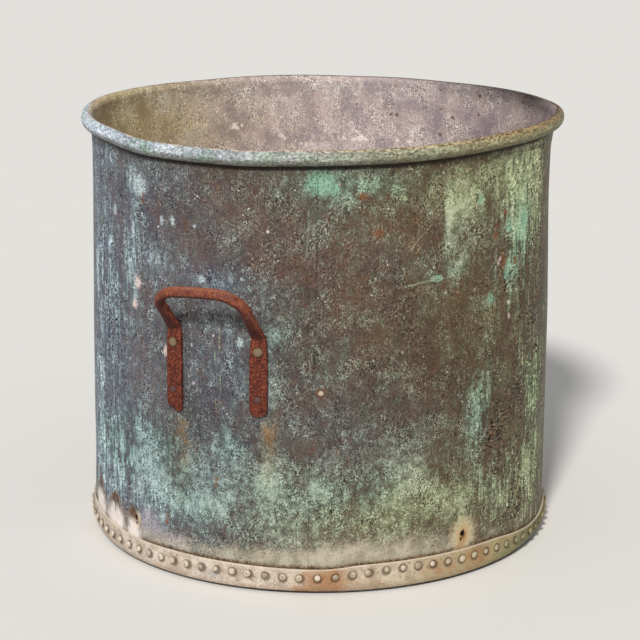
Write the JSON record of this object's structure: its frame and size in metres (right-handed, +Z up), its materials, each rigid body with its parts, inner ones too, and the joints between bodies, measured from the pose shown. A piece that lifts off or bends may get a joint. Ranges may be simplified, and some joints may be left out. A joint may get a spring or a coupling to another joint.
{
  "type": "laundry copper boiler",
  "caption": "Open riveted copper wash boiler with a wired rolled rim, a shallow flanged base pan and two rusty forged iron lifting handles, weathered with verdigris and limescale.",
  "frame": {"origin": "on the floor, under the middle of the base", "axes": "+Z up; the two lifting handles stand on +X and -X; the front wall seam is beside the -X handle, towards -Y"},
  "size_m": [0.85, 0.7424, 0.66],
  "materials": {
    "weathered_copper": "matte",
    "limed_copper": "matte",
    "rivet_copper": "satin",
    "rusty_iron": "matte",
    "wire_iron": "matte"
  },
  "bodies": {
    "root": {"left_sheet": "weathered_copper", "right_sheet": "weathered_copper", "rim_wire": "wire_iron", "base_pan": "limed_copper", "base_rivets": "rivet_copper", "left_handle": "rusty_iron", "right_handle": "rusty_iron", "left_upper_rivets": "rivet_copper", "right_upper_rivets": "rivet_copper", "left_lower_rivets": "rusty_iron", "right_lower_rivets": "rusty_iron", "left_roves": "rivet_copper", "right_roves": "rivet_copper", "repair_rivet": "rivet_copper"}
  },
  "joints": []
}
